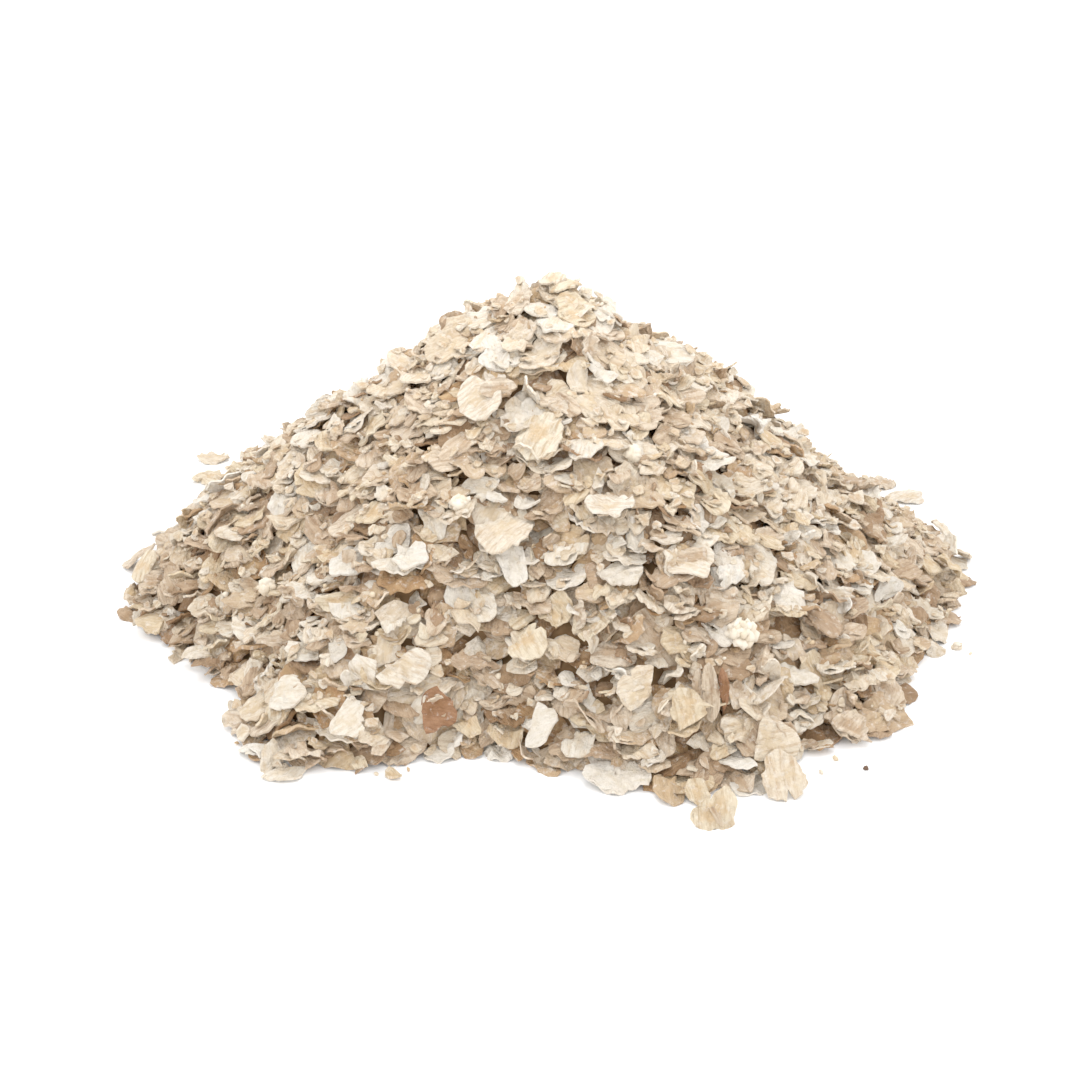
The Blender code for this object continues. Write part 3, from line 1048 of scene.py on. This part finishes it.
def oat_material(name, colours, streak, heart, floury):
    """Rolled oat: matt starch with the bran's fine streaks, pressed wrinkles and flour.

    colours run from one flake to the next, and toward their dark end they are painted shade
    for flakes that lie deep; streak and heart are the bran's own colour along the grain and in
    the middle of the flake, and floury is the share of white dust.
    """
    material, surface = new_material(
        name, {"Roughness": OAT_ROUGHNESS, "IOR": OAT_IOR, "Specular IOR Level": OAT_SHEEN},
    )
    tint = add_node(material, "ShaderNodeAttribute", {"attribute_name": "tint"})
    base = add_node(material, "ShaderNodeValToRGB", links={"Fac": (tint, "Fac")})
    ramp = base.color_ramp
    while len(ramp.elements) < len(colours):
        ramp.elements.new(0.5)
    for number, colour in enumerate(colours):
        ramp.elements[number].position = number / (len(colours) - 1)
        ramp.elements[number].color = (*linear(colour), 1)
    grain = add_node(material, "ShaderNodeUVMap", {"uv_map": "grain"})
    combed = add_node(
        material, "ShaderNodeMapping", links={"Vector": (grain, "UV"), "Scale": STREAKS_PER_MM},
    )
    streaks = add_node(
        material, "ShaderNodeTexNoise",
        links={"Vector": (combed, "Vector"), "Scale": 1.0, "Detail": 5.0, "Roughness": 0.65},
    )
    streak_share = add_node(
        material, "ShaderNodeMapRange",
        links={"Value": (streaks, "Fac"), "From Min": 0.44, "From Max": 0.68, "To Max": 0.85},
    )
    to_edge = add_node(material, "ShaderNodeAttribute", {"attribute_name": "to_edge"})
    patches = add_node(
        material, "ShaderNodeTexNoise",
        links={"Vector": (grain, "UV"), "Scale": PATCHES_PER_MM, "Detail": 3.0, "Roughness": 0.55},
    )
    inward = add_node(
        material, "ShaderNodeMath", {"operation": "MULTIPLY_ADD"},
        {0: (to_edge, "Fac"), 1: -EDGE_PALER, 2: (patches, "Fac")},
    )
    heart_share = add_node(
        material, "ShaderNodeMapRange",
        links={"Value": (inward, "Value"), "From Min": 0.28, "From Max": 0.46, "To Max": 0.7},
    )
    dust = add_node(
        material, "ShaderNodeTexNoise",
        links={
            "Vector": (grain, "UV"), "Scale": SPECKS_PER_MM, "Detail": 6.0, "Roughness": 0.68,
        },
    )
    dust_share = add_node(
        material, "ShaderNodeMapRange",
        links={
            "Value": (dust, "Fac"), "From Min": 0.6 - 0.3 * floury,
            "From Max": 0.76 - 0.3 * floury, "To Max": 0.65,
        },
    )
    colour = (base, "Color")
    for share, over in ((streak_share, streak), (heart_share, heart), (dust_share, FLOUR_WHITE)):
        layer = add_node(
            material, "ShaderNodeMix", {"data_type": "RGBA"},
            {"Factor": (share, "Result"), "A": colour, "B": (*linear(over), 1)},
        )
        colour = (layer, "Result")
    links = material.node_tree.links
    links.new(layer.outputs["Result"], surface.inputs["Base Color"])
    wrinkles = add_node(
        material, "ShaderNodeTexNoise",
        links={
            "Vector": (combed, "Vector"), "Scale": WRINKLES_PER_STREAK, "Detail": 6.0,
            "Roughness": 0.66,
        },
    )
    pits = add_node(
        material, "ShaderNodeTexNoise",
        links={"Vector": (grain, "UV"), "Scale": PITS_PER_MM, "Detail": 4.0, "Roughness": 0.55},
    )
    pressed = add_node(
        material, "ShaderNodeMath", {"operation": "ADD"},
        {0: (wrinkles, "Fac"), 1: (pits, "Fac")},
    )
    relief = add_node(
        material, "ShaderNodeBump",
        links={"Height": (pressed, "Value"), "Distance": WRINKLE_DEPTH, "Strength": 0.85},
    )
    links.new(relief.outputs["Normal"], surface.inputs["Normal"])
    return material


# The kinds by look: each one's material, its flakes' colours from darkest to lightest, its
# streaks, its heart, and its share of flour. The darkest colour is mostly painted shade:
# flakes come near it as they lie deeper below the heap's form.
KINDS = {
    # Starch from inside the groat: a warm cream.
    "cream": ("oat_starch_cream", ("a7835d", "d4c2a7", "dbcdb7", "ddd4c4"), "ae8e6a", "c8af8b", 0.28),
    # More starch and some flour: paler and cooler.
    "pale": ("oat_starch_pale", ("b1906c", "d8cab5", "ded4c3", "dfd9ce"), "bda481", "cfbb9d", 0.4),
    # Toasted in the kiln: the yellow of the heap.
    "golden": ("oat_toasted_gold", ("9f7851", "d0bb9a", "d7c6a9", "dacdb5"), "a4835a", "c3a277", 0.22),
    # The outside of the groat, with its bran on: a light brown.
    "tan": ("oat_bran_tan", ("967556", "c8b297", "d2bfa6", "d6c8b3"), "917152", "b39371", 0.22),
    # Smeared with flour from the rollers: almost white, and hardly streaked.
    "floury": ("oat_flour_white", ("b89f7e", "d6cbbb", "dbd4c8", "dcd7ce"), "c2b295", "cfc0a7", 0.7),
    # The bran side up: a brown. It is drawn more often low down, which is partly painted shade.
    "bran": ("oat_bran_brown", ("80603f", "b4987a", "c2ab8f", "cab69c"), "7d5d40", "9b7b59", 0.15),
    # A piece of husk that passed the sieve: reddish brown, with hardly any flour.
    "russet": ("oat_husk_russet", ("875a3c", "936747", "a17858"), "694127", "794f2c", 0.1),
    # Broken through, so starch and bran both show: a mixed tan.
    "bit": ("oat_broken_bits", ("9c7955", "cfba9c", "d6c7ad", "dbcfbd"), "a18260", "bd9b75", 0.25),
}
for kind, (material_name, colours, streak, heart, floury) in KINDS.items():
    pieces = [piece for piece in laid if piece["kind"] == kind]
    material = oat_material(material_name, colours, streak, heart, floury)
    joined_pieces(kind + "_flakes", pieces, material)


# Crumbs: rubbed-off starch and broken groats about a millimetre across, loose on the
# flakes and by the foot, and here and there stuck together in a knobbly lump.
CRUMBS = 1500
CRUMB_SIZES = (0.35 * MM, 0.55 * MM, 1.3 * MM)
CRUMB_ROOM = 0.5 * MM
CRUMB_SEAT = 0.3
CRUMB_TINTS = (0.15, 0.75)
UNEVENNESS = (0.72, 1.2)
WIDE = (0.7, 1.2)
TALL = (0.5, 0.9)
CRUMB_ENDS = ((0.02, "5a4334"), (1.0, "e6dccb"))
CRUMB_COLOURS = ((0.1, "a98358"), (0.4, "c8b393"), (0.7, "d5c9b5"))


def crumb_mesh(name, spots):
    """Many small rounded lumps in one mesh; a spot is a place, a radius and a tint."""
    ball = bmesh.new()
    bmesh.ops.create_icosphere(ball, subdivisions=1, radius=1.0)
    ball_corners = np.array([corner.co[:] for corner in ball.verts])
    ball_faces = np.array([[corner.index for corner in face.verts] for face in ball.faces])
    ball.free()
    corners = []
    faces = []
    tints = []
    for number, (place, radius, tint) in enumerate(spots):
        uneven = np.array([draw.uniform(*UNEVENNESS) for _ in ball_corners])[:, None]
        flat = np.array([draw.uniform(*WIDE), draw.uniform(*WIDE), draw.uniform(*TALL)])
        spin = np.array(Euler([draw.uniform(0, math.tau) for _ in range(3)]).to_matrix())
        corners.append((ball_corners * uneven * flat * radius) @ spin.T + np.array(place))
        faces.append(ball_faces + number * len(ball_corners))
        tints += [tint] * len(ball_faces)
    corners = np.concatenate(corners)
    corners[:, 2] = np.maximum(corners[:, 2], LOWEST)
    mesh = bpy.data.meshes.new(name)
    mesh.from_pydata(corners.tolist(), [], np.concatenate(faces).tolist())
    mesh.attributes.new("tint", "FLOAT", "FACE").data.foreach_set("value", tints)
    mesh.shade_smooth()
    return mesh


spots = []
for _ in range(CRUMBS):
    row, column = any_foot_cell()
    if heap_form[row, column] - filled[row, column] < CRUMB_ROOM:
        continue
    radius = 0.5 * between(*CRUMB_SIZES)
    height = float(filled[row, column]) + CRUMB_SEAT * radius
    spots.append(((grid_x[column], grid_y[row], height), radius, draw.uniform(*CRUMB_TINTS)))

# The loose ones on the surface, each at x and y in mm and with its size in mm. The first
# is a dark speck of husk.
LOOSE_CRUMBS = (
    (45.0, -55.5, 0.9), (65.9, -18.0, 1.5), (67.5, -20.5, 0.8), (-45.5, -48.5, 0.9),
    (-43.0, -50.0, 0.7), (-24.5, -57.0, 0.8), (-20.0, -56.0, 1.0), (8.0, -58.5, 0.8),
    (24.5, -61.0, 1.0), (38.5, -56.5, 0.8), (41.0, -53.0, 1.2), (-60.0, -20.0, 0.9),
    (-66.5, 8.0, 1.1), (70.5, 8.0, 0.9), (-64.0, 46.0, 1.0),
)
LOOSE_SEAT = 0.7
LOOSE_TINTS = (0.2, 0.8)

for number, (x, y, size) in enumerate(LOOSE_CRUMBS):
    radius = 0.5 * size * MM
    tint = 0.0 if number == 0 else draw.uniform(*LOOSE_TINTS)
    spots.append(((x * MM, y * MM, LOOSE_SEAT * radius), radius, tint))

# The lumps, each at x and y in mm and with its radius in mm.
LUMPS = ((27.6, -45.0, 3.1), (-13.0, -30.5, 1.5), (12.5, -24.0, 1.4), (-44.0, -22.0, 1.6))
LUMP_SEAT = 0.5
LUMP_CRUMBS_PER_MM = 30
LUMP_OUT = (0.25, 0.62)
LUMP_CRUMB_RADII = (0.65, 1.05)
LUMP_TINTS = (0.55, 0.85)

for x, y, radius in LUMPS:
    ground = float(filled[cell_of(x * MM, y * MM)])
    middle = Vector((x * MM, y * MM, ground + LUMP_SEAT * radius * MM))
    for _ in range(int(LUMP_CRUMBS_PER_MM * radius)):
        way = Vector([draw.gauss(0, 1) for _ in range(3)]).normalized()
        place = middle + way * radius * draw.uniform(*LUMP_OUT) * MM
        crumb_radius = draw.uniform(*LUMP_CRUMB_RADII) * MM
        spots.append((tuple(place), crumb_radius, draw.uniform(*LUMP_TINTS)))

# Oat starch crumb: floury, and rougher than the rolled flakes, so its sheen is fainter
# still. Each crumb has one colour, from husk brown by way of bran to starch white.
crumb_material, crumb_surface = new_material(
    "oat_starch_crumb", {"Roughness": 0.8, "IOR": OAT_IOR, "Specular IOR Level": OAT_SHEEN},
)
crumb_tint = add_node(crumb_material, "ShaderNodeAttribute", {"attribute_name": "tint"})
crumb_ramp = add_node(crumb_material, "ShaderNodeValToRGB", links={"Fac": (crumb_tint, "Fac")})
crumb_elements = crumb_ramp.color_ramp.elements
for element, (position, colour) in zip(crumb_elements, CRUMB_ENDS):
    element.position = position
    element.color = (*linear(colour), 1)
for position, colour in CRUMB_COLOURS:
    crumb_elements.new(position).color = (*linear(colour), 1)
crumb_material.node_tree.links.new(crumb_ramp.outputs["Color"], crumb_surface.inputs["Base Color"])
heap_piece("crumbs", crumb_mesh("crumbs", spots), crumb_material)


# The floor: a plain sheet of matt white paper laid flat under the heap, and wide
# enough that its edges are never seen.
FLOOR_SIZE = 12.0
FLOOR_COLOUR = "fcfcfc"

floor_mesh = bpy.data.meshes.new("floor")
half = FLOOR_SIZE / 2
floor_mesh.from_pydata(
    [(-half, -half, 0), (half, -half, 0), (half, half, 0), (-half, half, 0)], [], [(0, 1, 2, 3)]
)
floor = bpy.data.objects.new("floor", floor_mesh)
bpy.context.scene.collection.objects.link(floor)
floor_material, floor_surface = new_material(
    "white_paper_floor", {"Base Color": (*linear(FLOOR_COLOUR), 1), "Roughness": 0.9},
)
floor_mesh.materials.append(floor_material)


# The light: even and white from all round, a little more from above, and a small soft
# lamp close over the peak, so that the heap grows darker toward its foot.
ROOM_LIGHT = 1.69
OVERHEAD_STRENGTH = 0.23
OVERHEAD_SPREAD = math.radians(60)
OVERHEAD_WAY = (0.15, -0.1, -1.0)
NEAR_STRENGTH = 0.09
NEAR_SIZE = 120 * MM
NEAR_PLACE = (0, 10 * MM, 155 * MM)
PICTURE_GAMMA = 1.25

world = bpy.data.worlds.new("studio")
world.use_nodes = True
world.node_tree.nodes["Background"].inputs["Color"].default_value = (*linear("ffffff"), 1)
world.node_tree.nodes["Background"].inputs["Strength"].default_value = ROOM_LIGHT
bpy.context.scene.world = world

overhead_lamp = bpy.data.lights.new("overhead_softbox", "SUN")
overhead_lamp.energy = OVERHEAD_STRENGTH
overhead_lamp.angle = OVERHEAD_SPREAD
overhead = bpy.data.objects.new("overhead_softbox", overhead_lamp)
overhead.rotation_euler = Vector(OVERHEAD_WAY).to_track_quat("-Z", "Y").to_euler()

near_lamp = bpy.data.lights.new("near_softbox", "AREA")
near_lamp.shape = "DISK"
near_lamp.size = NEAR_SIZE
near_lamp.energy = NEAR_STRENGTH
near = bpy.data.objects.new("near_softbox", near_lamp)
near.location = NEAR_PLACE
near.visible_camera = False
for lamp in (near, overhead):
    bpy.context.scene.collection.objects.link(lamp)

bpy.context.scene.view_settings.view_transform = "Standard"
bpy.context.scene.view_settings.gamma = PICTURE_GAMMA
